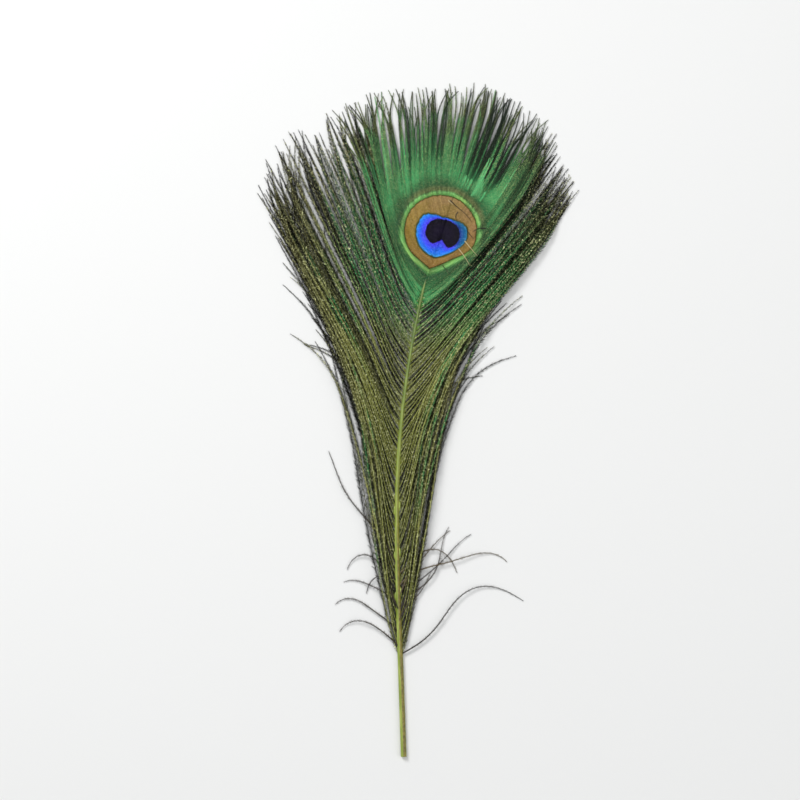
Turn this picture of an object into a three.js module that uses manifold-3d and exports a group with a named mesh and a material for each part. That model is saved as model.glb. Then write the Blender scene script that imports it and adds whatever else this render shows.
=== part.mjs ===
// A peacock's train feather, lying face up on a flat surface. It grew as one piece: a long tapering
// shaft, bare at its cut end, loose barbs that run up close beside it and then fan out, and a closed
// round vane about the eye with a fringe of barbs above it. The barbs are gathered here in locks.
// Millimetres. +Y runs from the cut end to the tip, +X to the right as the feather is looked down on,
// +Z up. The origin is on the flat underside of the bare shaft.
import * as THREE from 'three';
import { mergeVertices } from 'three/addons/utils/BufferGeometryUtils.js';
import Module from 'manifold-3d';

const wasm = await Module();
wasm.setup();

// Driving dimensions
const CUT_END_TO_ORIGIN = 20;
const SHAFT_LENGTH = 238;
const FLAT_SHAFT_END = 110; // the shaft lies flat on the surface up to here
const FLAT_HALF_ANGLE = 42; // degrees, half the arc that the flat underside takes
const SHAFT_SIDES = 12;
const EYE_STATION = 203; // where the shaft enters the closed vane
const EYE_HEIGHT = 2.5; // of the shaft's axis above the surface, in the eye
const EYE_LEAN = 17; // degrees that the eye is turned to the right

const VANE_CENTRE = new THREE.Vector2(15.9, 200.1);
const VANE_RADIUS = 21.5;
const VANE_POINT = 32; // from the vane's centre down to its pointed base
const VANE_THICKNESS = 0.9;
const VANE_CROWN = 3.9; // height of the vane's top in the middle
const VANE_DROP = 1.0; // how far the rim lies below the middle
const VANE_RINGS = 4;
const VANE_SECTORS = 32;

// Along the shaft, from the cut end: how far it leans to the right of +Y in degrees, and its radius.
const SHAFT = [
  { at: 0, lean: -1.8, radius: 1.22 },
  { at: 50, lean: -2.2, radius: 1.15 },
  { at: 80, lean: -1.2, radius: 1.04 },
  { at: 110, lean: 1.0, radius: 0.92 },
  { at: 135, lean: 5.0, radius: 0.79 },
  { at: 160, lean: 8.5, radius: 0.67 },
  { at: 190, lean: 12.0, radius: 0.55 },
  { at: 205, lean: 18.5, radius: 0.46 },
  { at: 220, lean: 18.2, radius: 0.24 },
  { at: 240, lean: 18.0, radius: 0.13 },
];
const SHAFT_SECTIONS = [
  0, 12, 34, 50, 65, 80, 95, 110, 122, 135, 148, 160, 170, 180, 190, 198, 205, 212, 220, 230, 238,
];

// Each side's barbs, by where on the shaft they grow. Degrees away from +Y, outwards on their own side:
// at the root, below and above the fan's opening, and at the tip; then how many mm the barb takes to
// turn from its root's direction, and its length.
const LEFT_BARBS = [
  { at: 41, root: 34, below: 7, above: 26, tip: 23, turn: 5, length: 138 },
  { at: 82, root: 34, below: 10, above: 28, tip: 24, turn: 5, length: 144 },
  { at: 120, root: 36, below: 15, above: 30, tip: 27, turn: 5, length: 136 },
  { at: 160, root: 42, below: 18, above: 25, tip: 24, turn: 9, length: 114 },
  { at: 190, root: 40, below: 15, above: 15, tip: 20, turn: 14, length: 90 },
  { at: 203, root: 54, below: 3, above: 3, tip: 10, turn: 22, length: 82 },
  { at: 214, root: 40, below: -4, above: -4, tip: 2, turn: 20, length: 72 },
  { at: 226, root: 26, below: -10, above: -10, tip: -6, turn: 16, length: 60 },
  { at: 238, root: -15, below: -17, above: -17, tip: -16, turn: 10, length: 50 },
];
const RIGHT_BARBS = [
  { at: 41, root: 34, below: 8, above: 29, tip: 27, turn: 5, length: 130 },
  { at: 82, root: 34, below: 11, above: 33, tip: 30, turn: 5, length: 138 },
  { at: 115, root: 36, below: 14, above: 36, tip: 33, turn: 5, length: 130 },
  { at: 140, root: 44, below: 26, above: 41, tip: 37, turn: 7, length: 118 },
  { at: 171, root: 55, below: 44, above: 42, tip: 37, turn: 9, length: 100 },
  { at: 188, root: 60, below: 38, above: 38, tip: 31, turn: 17, length: 92 },
  { at: 203, root: 70, below: 28, above: 28, tip: 26, turn: 22, length: 84 },
  { at: 214, root: 58, below: 24, above: 24, tip: 22, turn: 20, length: 75 },
  { at: 226, root: 44, below: 20, above: 20, tip: 18, turn: 16, length: 62 },
  { at: 238, root: 20, below: 17, above: 17, tip: 16, turn: 10, length: 50 },
];
const FAN_OPENS_FROM = 92; // y where the barbs that ran beside the shaft begin to turn outwards
const FAN_OPENS_OVER = 90; // mm that the turn takes
const MOST_OPENED_AT_ROOT = 30; // mm of the turn that a barb rooted higher up has behind it
const TIP_TURNS_FROM = 0.45; // of a barb's length

// Loose locks lie in three layers over each other; those of the closed vane and its fringe in two.
const LOOSE_LOCKS = { from: 44, to: 199, count: 21, rises: [0.5, 2.3, 4.2], wide: 1.8, high: 0.8 };
const FRINGE_LOCKS = { from: 205, to: 237.5, count: 6, rises: [0.3, 0.9], wide: 2.9, high: 0.6 };
const LOW_ABOUT_EYE = 40; // within this of the eye's base, locks rise less, to pass below the vane
const LOCK_ROOT_WIDTH = 0.6; // half widths, as wide above is
const LOCK_TIP_WIDTH = 0.35;
const LOCK_TIP_HEIGHT = 0.25;
const LOCK_WIDEST_AT = 0.7; // of a lock's length
const LOCK_STEPS = 8;
const LOCK_STEPS_GATHER = 1.4; // steps are closer together towards the root, where a lock bends most

const degrees = THREE.MathUtils.degToRad;
const smooth = (x) => THREE.MathUtils.smoothstep(x, 0, 1);

// The row of a table at a place between its rows
function rowAt(table, at) {
  const next = table.findIndex((row) => row.at >= at);
  if (next === 0) return table[0];
  if (next < 0) return table[table.length - 1];
  const [low, high] = [table[next - 1], table[next]];
  const share = (at - low.at) / (high.at - low.at);
  const row = {};
  for (const key of Object.keys(low)) row[key] = low[key] + (high[key] - low[key]) * share;
  return row;
}

// The shaft's centre line: millimetre steps up from the cut end, moved so that the origin is on it
const shaftLine = [new THREE.Vector2(0, 0)];
for (let at = 0; at < SHAFT_LENGTH + 2; at += 1) {
  const lean = degrees(rowAt(SHAFT, at + 0.5).lean);
  shaftLine.push(shaftLine[at].clone().add(new THREE.Vector2(Math.sin(lean), Math.cos(lean))));
}
const originOnLine = shaftLine[CUT_END_TO_ORIGIN].clone();
for (const point of shaftLine) point.sub(originOnLine);

const flatDepth = (radius) => radius * Math.cos(degrees(FLAT_HALF_ANGLE));

// The axis lies just high enough for the flat underside to touch, then rises towards the eye.
function shaftPoint(at) {
  const step = Math.floor(at);
  const place = shaftLine[step].clone().lerp(shaftLine[step + 1], at - step);
  const lying = flatDepth(rowAt(SHAFT, at).radius);
  const risen = smooth((at - FLAT_SHAFT_END) / (EYE_STATION - FLAT_SHAFT_END));
  return new THREE.Vector3(place.x, place.y, lying + (EYE_HEIGHT - lying) * risen);
}

// A closed solid through rings of points, each ring the same size and going the same way round
function solidThrough(rings) {
  const size = rings[0].length;
  const vertices = rings.flat().flatMap((p) => [p.x, p.y, Math.max(p.z, 0)]);
  const triangles = [];
  for (let ring = 0; ring + 1 < rings.length; ring += 1) {
    for (let i = 0; i < size; i += 1) {
      const [a, b] = [ring * size + i, ring * size + ((i + 1) % size)];
      triangles.push(a, b, b + size, a, b + size, a + size);
    }
  }
  const last = (rings.length - 1) * size;
  for (let i = 1; i + 1 < size; i += 1) {
    triangles.push(0, i + 1, i);
    triangles.push(last, last + i, last + i + 1);
  }
  const geometry = new THREE.BufferGeometry();
  geometry.setAttribute('position', new THREE.Float32BufferAttribute(vertices, 3));
  geometry.setIndex(triangles);
  return toManifold(geometry);
}

function toManifold(geometry) {
  const merged = mergeVertices(geometry, 1e-4);
  return new wasm.Manifold(
    new wasm.Mesh({
      numProp: 3,
      vertProperties: new Float32Array(merged.attributes.position.array),
      triVerts: new Uint32Array(merged.index.array),
    }),
  );
}

// Shaft: round above, flat below, square across at the cut end
function makeShaft() {
  const rings = SHAFT_SECTIONS.map((at) => {
    const { radius, lean } = rowAt(SHAFT, at);
    const centre = shaftPoint(at);
    const across = new THREE.Vector3(Math.cos(degrees(lean)), -Math.sin(degrees(lean)), 0);
    const ring = [];
    for (let i = 0; i < SHAFT_SIDES; i += 1) {
      const arc = 360 - 2 * FLAT_HALF_ANGLE;
      const angle = degrees(-90 + FLAT_HALF_ANGLE + (arc * i) / (SHAFT_SIDES - 1));
      const point = centre.clone().addScaledVector(across, radius * Math.cos(angle));
      point.z += radius * Math.sin(angle);
      ring.push(point);
    }
    return ring.reverse();
  });
  return solidThrough(rings);
}

// A lock's centre line: its points, and the way it leans at each
function lockLine(side, table, at, rise) {
  const barb = rowAt(table, at);
  const root = shaftPoint(at);
  const openedAtRoot = Math.min(root.y - FAN_OPENS_FROM, MOST_OPENED_AT_ROOT);
  const leanAt = (along) => {
    const opened = smooth((along + openedAtRoot) / FAN_OPENS_OVER);
    const towardsTip = smooth((along / barb.length - TIP_TURNS_FROM) / (1 - TIP_TURNS_FROM));
    const turned = Math.exp(-along / barb.turn);
    let lean = barb.below + (barb.above - barb.below) * opened + (barb.tip - barb.above) * towardsTip;
    lean += (barb.root - barb.below) * turned;
    return degrees(side * lean);
  };
  const points = [];
  const place = root.clone();
  let along = 0;
  for (let step = 0; step <= LOCK_STEPS; step += 1) {
    const stop = barb.length * (step / LOCK_STEPS) ** LOCK_STEPS_GATHER;
    while (along < stop) {
      const stride = Math.min(1, stop - along);
      const lean = leanAt(along + stride / 2);
      place.x += Math.sin(lean) * stride;
      place.y += Math.cos(lean) * stride;
      along += stride;
    }
    const share = along / barb.length;
    place.z = root.z * (1 - share) + rise * 4 * share * (1 - share);
    points.push({ place: place.clone(), lean: leanAt(along), share });
  }
  return points;
}

// Lock: flat below and ridged above, widest past its middle and narrow at the tip
function makeLock(side, table, at, rise, wide, high) {
  const rings = lockLine(side, table, at, rise).map(({ place, lean, share }) => {
    const widening = smooth(share / LOCK_WIDEST_AT);
    const narrowing = smooth((share - LOCK_WIDEST_AT) / (1 - LOCK_WIDEST_AT));
    const widened = LOCK_ROOT_WIDTH + (wide - LOCK_ROOT_WIDTH) * widening;
    const halfWidth = widened - (wide - LOCK_TIP_WIDTH) * narrowing;
    const height = high + (LOCK_TIP_HEIGHT - high) * narrowing;
    const across = new THREE.Vector3(Math.cos(lean), -Math.sin(lean), 0);
    return [
      place.clone().addScaledVector(across, halfWidth),
      place.clone().addScaledVector(across, -halfWidth),
      place.clone().add(new THREE.Vector3(0, 0, height)),
    ];
  });
  return solidThrough(rings);
}

// Closed vane: a thin domed plate, round with a point at its base
function makeVane() {
  const axis = degrees(EYE_LEAN);
  const rimRadius = (angle) => {
    // The angle is measured from the pointed base; two straight edges run from the point to the circle.
    const fromPoint = Math.min(Math.abs(angle), 2 * Math.PI - Math.abs(angle));
    const touching = Math.acos(VANE_RADIUS / VANE_POINT);
    return fromPoint < touching ? VANE_RADIUS / Math.cos(touching - fromPoint) : VANE_RADIUS;
  };
  const vertices = [];
  const addLayer = (below) => {
    vertices.push(VANE_CENTRE.x, VANE_CENTRE.y, VANE_CROWN - below);
    for (let ring = 1; ring <= VANE_RINGS; ring += 1) {
      for (let sector = 0; sector < VANE_SECTORS; sector += 1) {
        const angle = (2 * Math.PI * sector) / VANE_SECTORS;
        const share = ring / VANE_RINGS;
        const radius = share * rimRadius(angle);
        const heading = angle - Math.PI / 2 - axis;
        const fall = VANE_DROP * share * share;
        vertices.push(
          VANE_CENTRE.x + radius * Math.cos(heading),
          VANE_CENTRE.y + radius * Math.sin(heading),
          VANE_CROWN - fall - below,
        );
      }
    }
  };
  addLayer(0);
  addLayer(VANE_THICKNESS);
  const layerSize = 1 + VANE_RINGS * VANE_SECTORS;
  const triangles = [];
  for (let sector = 0; sector < VANE_SECTORS; sector += 1) {
    const next = (sector + 1) % VANE_SECTORS;
    const faces = [[0, 1 + sector, 1 + next]];
    for (let ring = 1; ring < VANE_RINGS; ring += 1) {
      const [inner, outer] = [1 + (ring - 1) * VANE_SECTORS, 1 + ring * VANE_SECTORS];
      faces.push([inner + sector, outer + sector, outer + next]);
      faces.push([inner + sector, outer + next, inner + next]);
    }
    for (const [a, b, c] of faces) {
      triangles.push(a, b, c);
      triangles.push(a + layerSize, c + layerSize, b + layerSize);
    }
    const rim = 1 + (VANE_RINGS - 1) * VANE_SECTORS;
    const [a, b] = [rim + sector, rim + next];
    triangles.push(a, a + layerSize, b + layerSize);
    triangles.push(a, b + layerSize, b);
  }
  const geometry = new THREE.BufferGeometry();
  geometry.setAttribute('position', new THREE.Float32BufferAttribute(vertices, 3));
  geometry.setIndex(triangles);
  return toManifold(geometry);
}

// Fuse the shaft, the vane and every lock
let solid = makeShaft().add(makeVane());
for (const { from, to, count, rises, wide, high } of [LOOSE_LOCKS, FRINGE_LOCKS]) {
  for (let i = 0; i < count; i += 1) {
    const at = from + ((to - from) * i) / (count - 1);
    const rise = rises[i % rises.length] * smooth(Math.abs(at - EYE_STATION) / LOW_ABOUT_EYE);
    solid = solid.add(makeLock(-1, LEFT_BARBS, at, rise, wide, high));
    solid = solid.add(makeLock(1, RIGHT_BARBS, at, rise, wide, high));
  }
}

const fused = solid.getMesh();
const geometry = new THREE.BufferGeometry();
geometry.setAttribute('position', new THREE.Float32BufferAttribute(fused.vertProperties, 3));
geometry.setIndex([...fused.triVerts]);
geometry.computeVertexNormals();

const barbGreen = new THREE.MeshStandardMaterial({ color: 0x5c6b34, roughness: 0.45, metalness: 0.3 });
const feather = new THREE.Mesh(geometry, barbGreen);
feather.name = 'feather';

const model = new THREE.Group();
model.add(feather);

export default model;
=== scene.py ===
import math

import bpy
import bmesh
import numpy as np
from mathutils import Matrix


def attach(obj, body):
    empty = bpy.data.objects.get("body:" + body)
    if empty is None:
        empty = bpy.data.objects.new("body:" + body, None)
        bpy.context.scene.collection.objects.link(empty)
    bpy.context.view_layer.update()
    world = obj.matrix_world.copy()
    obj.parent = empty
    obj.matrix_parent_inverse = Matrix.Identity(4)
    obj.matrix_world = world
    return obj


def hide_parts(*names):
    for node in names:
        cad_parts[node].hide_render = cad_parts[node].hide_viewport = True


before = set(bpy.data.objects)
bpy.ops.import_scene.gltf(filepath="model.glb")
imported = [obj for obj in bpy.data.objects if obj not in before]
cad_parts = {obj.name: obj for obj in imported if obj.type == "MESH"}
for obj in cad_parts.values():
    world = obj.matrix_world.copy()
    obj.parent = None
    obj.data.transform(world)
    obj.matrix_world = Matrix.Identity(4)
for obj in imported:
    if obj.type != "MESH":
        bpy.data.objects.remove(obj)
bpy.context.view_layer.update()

# Camera and stage
# The feather lies on a plain pale floor under soft studio light. The camera looks down on it, a
# little from the cut end, and frames it as in the photograph: 0.42 mm of feather to a pixel.
MM = 0.001
PHOTO_SIDE = 800
MM_PER_PIXEL = 0.42
ORIGIN_PIXEL = (402.1, 705.4)
CAMERA_ELEVATION = math.radians(84)
CAMERA_DISTANCE = 0.95
LOOKED_AT_HEIGHT = 2
LAMPS = {
    "key_light": {"place": (-0.55, 0.75, 0.9), "size": 0.5, "power": 10},
    "fill_light": {"place": (0.9, -0.3, 0.9), "size": 0.9, "power": 3.5},
    "top_light": {"place": (0.1, 0.2, 1.6), "size": 1.2, "power": 6},
}
FLOOR_SIZE = 6
FLOOR_DROP = 0.2

seen_width = PHOTO_SIDE * MM_PER_PIXEL * MM
looked_at = np.array([
    (PHOTO_SIDE / 2 - ORIGIN_PIXEL[0]) * MM_PER_PIXEL * MM,
    (ORIGIN_PIXEL[1] - PHOTO_SIDE / 2) * MM_PER_PIXEL * MM,
    LOOKED_AT_HEIGHT * MM,
])
camera_data = bpy.data.cameras.new("camera")
camera_data.sensor_width = 36
camera_data.lens = camera_data.sensor_width * CAMERA_DISTANCE / seen_width
camera_data.clip_start = 0.05
camera = bpy.data.objects.new("camera", camera_data)
backwards = np.array([0, -math.cos(CAMERA_ELEVATION), math.sin(CAMERA_ELEVATION)])
camera.location = looked_at + CAMERA_DISTANCE * backwards
camera.rotation_euler = (math.pi / 2 - CAMERA_ELEVATION, 0, 0)
bpy.context.scene.collection.objects.link(camera)
bpy.context.scene.camera = camera


def soft_light(name, place, size, power):
    """A square lamp, in metres and watts, that faces the middle of the feather."""
    data = bpy.data.lights.new(name, "AREA")
    data.shape = "SQUARE"
    data.size = size
    data.energy = power
    lamp = bpy.data.objects.new(name, data)
    lamp.location = place
    toward = looked_at - np.array(place)
    level = math.hypot(toward[0], toward[1])
    lamp.rotation_euler = (math.atan2(level, -toward[2]), 0, math.atan2(-toward[0], toward[1]))
    bpy.context.scene.collection.objects.link(lamp)


for name, lamp in LAMPS.items():
    soft_light(name, **lamp)
world = bpy.data.worlds.new("studio")
world.use_nodes = True
world.node_tree.nodes["Background"].inputs["Color"].default_value = (0.86, 0.88, 0.9, 1)
world.node_tree.nodes["Background"].inputs["Strength"].default_value = 0.4
bpy.context.scene.world = world
bpy.context.scene.view_settings.view_transform = "Standard"

floor_finish = bpy.data.materials.new("pale_floor")
floor_finish.use_nodes = True
floor_shader = floor_finish.node_tree.nodes["Principled BSDF"]
floor_shader.inputs["Base Color"].default_value = (0.81, 0.81, 0.8, 1)
floor_shader.inputs["Roughness"].default_value = 0.9
bpy.ops.object.select_all(action="DESELECT")
bpy.ops.mesh.primitive_plane_add(size=FLOOR_SIZE, location=(0, 0.1, -FLOOR_DROP * MM))
floor = bpy.context.object
floor.name = "floor"
floor.data.materials.append(floor_finish)

# Shaft
# The horny quill that carries everything: bare and cut square at its lower end, flattened below with a
# shallow groove, bending to the right and tapering to a hair inside the eye.

# Stations are mm along the shaft from its cut end, and its lean is in degrees right of +Y
CUT_END_STATION = 20
SHAFT_LENGTH = 238
LINE_RUNS_ON = 3
FLAT_SHAFT_END = 110
FLAT_HALF_ANGLE = math.radians(42)
EYE_STATION = 203
EYE_HEIGHT = 2.5
SHAFT_AT = [0, 50, 80, 110, 135, 160, 190, 205, 220, 240]
SHAFT_LEAN = [-1.8, -2.2, -1.2, 1.0, 5.0, 8.5, 12.0, 18.5, 18.2, 18.0]
SHAFT_RADIUS = [1.22, 1.15, 1.04, 0.92, 0.79, 0.67, 0.55, 0.46, 0.24, 0.13]
SHAFT_SIDES = 24
SHAFT_STEP = 4
GROOVE_DEPTH = 0.22
GROOVE_HALF_WIDTH = 0.35
CREASE_DEPTH = 0.07
CREASE_HALF_WIDTH = 0.1
RIM_WIDTH = 0.16
PITH_WIDTH = 0.3
PITH_DEPTH = 0.18
SMOOTH_BELOW = math.radians(40)
CLEAR_OF_SHAFT = 2
TOLERANCE = 0.01


def smooth(x):
    """A step from 0 to 1 with soft ends."""
    x = np.clip(x, 0, 1)
    return x * x * (3 - 2 * x)


line_stations = np.arange(SHAFT_LENGTH + LINE_RUNS_ON)
line_leans = np.radians(np.interp(line_stations[:-1] + 0.5, SHAFT_AT, SHAFT_LEAN))
line_x = np.concatenate([[0], np.cumsum(np.sin(line_leans))])
line_y = np.concatenate([[0], np.cumsum(np.cos(line_leans))])
line_x -= line_x[CUT_END_STATION]
line_y -= line_y[CUT_END_STATION]


def shaft_points(stations):
    """Centre of the shaft, in mm: its flat underside lies on the floor, then it rises to the eye."""
    radii = np.interp(stations, SHAFT_AT, SHAFT_RADIUS)
    lying = radii * math.cos(FLAT_HALF_ANGLE)
    risen = smooth((stations - FLAT_SHAFT_END) / (EYE_STATION - FLAT_SHAFT_END))
    heights = lying + (EYE_HEIGHT - lying) * risen
    places = [np.interp(stations, line_stations, line) for line in (line_x, line_y)]
    return np.stack([*places, heights], axis=-1), radii


shaft_stations = np.append(np.arange(0, SHAFT_LENGTH - SHAFT_STEP / 2, SHAFT_STEP), SHAFT_LENGTH)
centres, radii = shaft_points(shaft_stations)
bpy.ops.object.select_all(action="DESELECT")
bpy.ops.mesh.primitive_circle_add(
    vertices=SHAFT_SIDES, radius=radii[0] * MM, fill_type="NGON",
    location=centres[0] * MM, rotation=(math.pi / 2, 0, 0),
)
shaft = bpy.context.object
shaft.name = "shaft"
bpy.ops.object.transform_apply(location=True, rotation=True, scale=True)
bpy.ops.object.mode_set(mode="EDIT")
bpy.ops.mesh.select_mode(type="VERT")


def select_ring(low, high, half_width):
    """Selects the points of the shaft's first ring by height and by distance from its middle."""
    bpy.ops.mesh.select_all(action="DESELECT")
    mesh = bmesh.from_edit_mesh(shaft.data)
    for point in mesh.verts:
        place = np.array(point.co) / MM - centres[0]
        point.select = low <= place[2] <= high and abs(place[0]) <= half_width
    mesh.select_flush(True)
    bmesh.update_edit_mesh(shaft.data)


flat_height = -radii[0] * math.cos(FLAT_HALF_ANGLE)
select_ring(-CLEAR_OF_SHAFT, flat_height + TOLERANCE, CLEAR_OF_SHAFT)
bpy.ops.transform.resize(value=(1, 1, 0), center_override=(centres[0] + [0, 0, flat_height]) * MM)
select_ring(-CLEAR_OF_SHAFT, flat_height + TOLERANCE, GROOVE_HALF_WIDTH)
bpy.ops.transform.translate(value=(0, 0, GROOVE_DEPTH * MM))
select_ring(radii[0] - TOLERANCE, CLEAR_OF_SHAFT, CREASE_HALF_WIDTH)
bpy.ops.transform.translate(value=(0, 0, -CREASE_DEPTH * MM))
bpy.ops.mesh.select_all(action="SELECT")
for here, there, thick, thin in zip(centres, centres[1:], radii, radii[1:]):
    bpy.ops.mesh.extrude_region_move(TRANSFORM_OT_translate={"value": (there - here) * MM})
    bpy.ops.transform.resize(value=(thin / thick,) * 3, center_override=there * MM)
bpy.ops.mesh.select_all(action="SELECT")
bpy.ops.mesh.normals_make_consistent(inside=False)
bpy.ops.mesh.select_mode(type="FACE")
bpy.ops.mesh.select_all(action="DESELECT")
shaft_mesh = bmesh.from_edit_mesh(shaft.data)
for face in shaft_mesh.faces:
    face.select = all(abs(point.co.y / MM - centres[0][1]) < TOLERANCE for point in face.verts)
shaft_mesh.select_flush(True)
bmesh.update_edit_mesh(shaft.data)
bpy.ops.mesh.inset(thickness=RIM_WIDTH * MM)
bpy.ops.mesh.inset(thickness=PITH_WIDTH * MM, depth=-PITH_DEPTH * MM)
bpy.ops.object.mode_set(mode="OBJECT")
bpy.ops.object.shade_smooth_by_angle(angle=SMOOTH_BELOW)


def tint(code):
    """A linear colour from the usual six-figure code."""
    channels = [int(code[i:i + 2], 16) / 255 for i in (0, 2, 4)]
    linear = [c / 12.92 if c <= 0.04045 else ((c + 0.055) / 1.055) ** 2.4 for c in channels]
    return (*linear, 1.0)


def new_material(name):
    """A material with nodes, its node tree and its shader."""
    material = bpy.data.materials.new(name)
    material.use_nodes = True
    return material, material.node_tree, material.node_tree.nodes["Principled BSDF"]


def node(tree, kind, inputs=None, **settings):
    """A shader node with its settings, and its inputs given as values or as other nodes' outputs."""
    made = tree.nodes.new(kind)
    for key, value in settings.items():
        setattr(made, key, value)
    for key, value in (inputs or {}).items():
        if isinstance(value, bpy.types.NodeSocket):
            tree.links.new(value, made.inputs[key])
        else:
            made.inputs[key].default_value = value
    return made


def blended(tree, share, first, second):
    """A colour between two others."""
    return node(tree, "ShaderNodeMix", {0: share, 6: first, 7: second}, data_type="RGBA").outputs[2]


def ramp(tree, value, stops):
    """Colours along a value, as (place, colour code) pairs."""
    made = node(tree, "ShaderNodeValToRGB", {"Fac": value})
    elements = made.color_ramp.elements
    elements[0].position = stops[0][0]
    elements[0].color = tint(stops[0][1])
    elements[1].position = stops[-1][0]
    elements[1].color = tint(stops[-1][1])
    for place, code in stops[1:-1]:
        elements.new(place).color = tint(code)
    return made.outputs["Color"]


def ranged(tree, value, low, high, new_low=0.0, new_high=1.0, manner="SMOOTHSTEP"):
    """A value brought from one range to another without leaving it."""
    made = node(
        tree, "ShaderNodeMapRange",
        {"Value": value, "From Min": low, "From Max": high, "To Min": new_low, "To Max": new_high},
        interpolation_type=manner,
    )
    return made.outputs["Result"]


def noise(tree, place, scale, detail=2.0):
    """Cloudy noise from 0 to 1, its scale about the number of clouds to a metre."""
    made = node(tree, "ShaderNodeTexNoise", {"Vector": place, "Scale": scale, "Detail": detail})
    return made.outputs["Fac"]


def maths(tree, operation, first, second):
    return node(tree, "ShaderNodeMath", {0: first, 1: second}, operation=operation).outputs[0]


def attribute(tree, name):
    """A value that the mesh holds for each of its points."""
    return node(tree, "ShaderNodeAttribute", attribute_name=name).outputs["Fac"]


def add_bump(tree, shader, height, strength, distance):
    """Fine relief from a value, its distance in metres."""
    bump = node(tree, "ShaderNodeBump", {"Height": height, "Strength": strength, "Distance": distance})
    tree.links.new(bump.outputs["Normal"], shader.inputs["Normal"])


horn, tree, shader = new_material("shaft_horn")
place = node(tree, "ShaderNodeTexCoord").outputs["Object"]
stretched = node(tree, "ShaderNodeMapping", {"Vector": place, "Scale": (1, 0.06, 1)}).outputs["Vector"]
streaks = noise(tree, stretched, scale=1800, detail=3)
flecks = noise(tree, place, scale=900)
pale = ramp(tree, streaks, [(0.3, "70822c"), (0.5, "8fa040"), (0.7, "b9c46a")])
green = ramp(tree, streaks, [(0.3, "47602c"), (0.7, "7c9146")])
brown = ramp(tree, flecks, [(0.3, "5a521e"), (0.7, "8c7f34")])
streaked = blended(tree, attribute(tree, "near_eye"), pale, green)
streaked = blended(tree, ranged(tree, attribute(tree, "middle"), 0.15, 0.75), streaked, brown)
pith = ramp(tree, flecks, [(0.3, "b9ab76"), (0.7, "ddd2a4")])
tree.links.new(blended(tree, attribute(tree, "cut"), streaked, pith), shader.inputs["Base Color"])
tree.links.new(ranged(tree, streaks, 0.2, 0.8, 0.28, 0.45), shader.inputs["Roughness"])
add_bump(tree, shader, streaks, strength=0.35, distance=0.08 * MM)
shaft.data.materials.append(horn)


def add_values(mesh, name, values):
    """Gives each point of a mesh a value that its material reads."""
    layer = mesh.attributes.new(name, "FLOAT", "POINT")
    layer.data.foreach_set("value", np.ascontiguousarray(values, np.float32))


# The brown streak runs a little right of the shaft's middle and fades upwards, the shaft is green near
# the eye, and pale pith shows in the cut, inside a rim of horn.
STREAK_OFF_MIDDLE = 0.4
STREAK_HALF_WIDTH = 0.95
STREAK_FADES = (60, 140)
STREAK_LEFT_ABOVE = 0.35
GREEN_NEAR_EYE = (105, 180)
shaft_places = np.array([point.co for point in shaft.data.vertices]) / MM
station = np.interp(shaft_places[:, 1], line_y, line_stations)
local_radius = np.interp(station, SHAFT_AT, SHAFT_RADIUS)
off_middle = (shaft_places[:, 0] - np.interp(station, line_stations, line_x)) / local_radius
streak = np.clip(1 - np.abs(off_middle - STREAK_OFF_MIDDLE) / STREAK_HALF_WIDTH, 0, 1)
add_values(shaft.data, "middle", streak * np.interp(station, STREAK_FADES, [1, STREAK_LEFT_ABOVE]))
add_values(shaft.data, "near_eye", np.interp(station, GREEN_NEAR_EYE, [0, 1]))
above_cut = shaft_places[:, 1] - centres[0][1]
add_values(shaft.data, "cut", np.abs(above_cut - PITH_DEPTH) < TOLERANCE)
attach(shaft, "root")
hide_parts("feather")

# Shaft lumps
# Where strong barbs grow low down, the shaft's sides swell in small lumps of the same green horn, half
# sunk in it. Each is given by its station and its side, -1 for left and 1 for right.
LUMPS = [(66, -1), (68, 1), (83, -1), (84.5, 1), (102, -1), (104, 1)]
LUMP_HALF_SIZE = (0.66, 2.1, 0.68)
LUMP_OFF_MIDDLE = 0.9
for number, (station, side) in enumerate(LUMPS):
    place, radius = shaft_points(station)
    bpy.ops.object.select_all(action="DESELECT")
    bpy.ops.mesh.primitive_uv_sphere_add(
        segments=16, ring_count=10, radius=MM,
        location=(place + [side * radius * LUMP_OFF_MIDDLE, 0, 0]) * MM,
    )
    lump = bpy.context.object
    lump.name = f"shaft_lump_{number + 1}"
    lump.scale = LUMP_HALF_SIZE
    bpy.ops.object.transform_apply(location=True, rotation=True, scale=True)
    bpy.ops.object.shade_smooth()
    lump.data.materials.append(horn)
    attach(lump, "root")
    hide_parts("feather")

# Loose barbs
# Some three hundred long barbs grow from the shaft's sides below the eye. Each is a thin spine with
# short flat barbules down both its sides. They run up beside the shaft, then fan out, and every third
# one lies on top; the high ones get painted light and the low ones painted shade.

# Both tables: station; degrees away from +Y, outwards, at the root, below and above the fan's opening
# and at the tip; mm taken to turn from the root's direction; length in mm.
LEFT_BARBS = {
    "at": [41, 82, 120, 160, 190, 203, 214, 226, 238],
    "root": [34, 34, 36, 42, 40, 54, 40, 26, -15],
    "below": [7, 10, 15, 18, 15, 3, -4, -10, -17],
    "above": [26, 28, 30, 25, 15, 3, -4, -10, -17],
    "tip": [23, 24, 27, 24, 20, 10, 2, -6, -16],
    "turn": [5, 5, 5, 9, 14, 22, 20, 16, 10],
    "length": [138, 144, 136, 114, 90, 82, 72, 60, 50],
}
RIGHT_BARBS = {
    "at": [41, 82, 115, 140, 171, 188, 203, 214, 226, 238],
    "root": [34, 34, 36, 44, 55, 60, 70, 58, 44, 20],
    "below": [8, 11, 14, 26, 44, 38, 28, 24, 20, 17],
    "above": [29, 33, 36, 41, 42, 38, 28, 24, 20, 17],
    "tip": [27, 30, 33, 37, 37, 31, 26, 22, 18, 16],
    "turn": [5, 5, 5, 7, 9, 17, 22, 20, 16, 10],
    "length": [130, 138, 130, 118, 100, 92, 84, 75, 62, 50],
}
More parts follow.
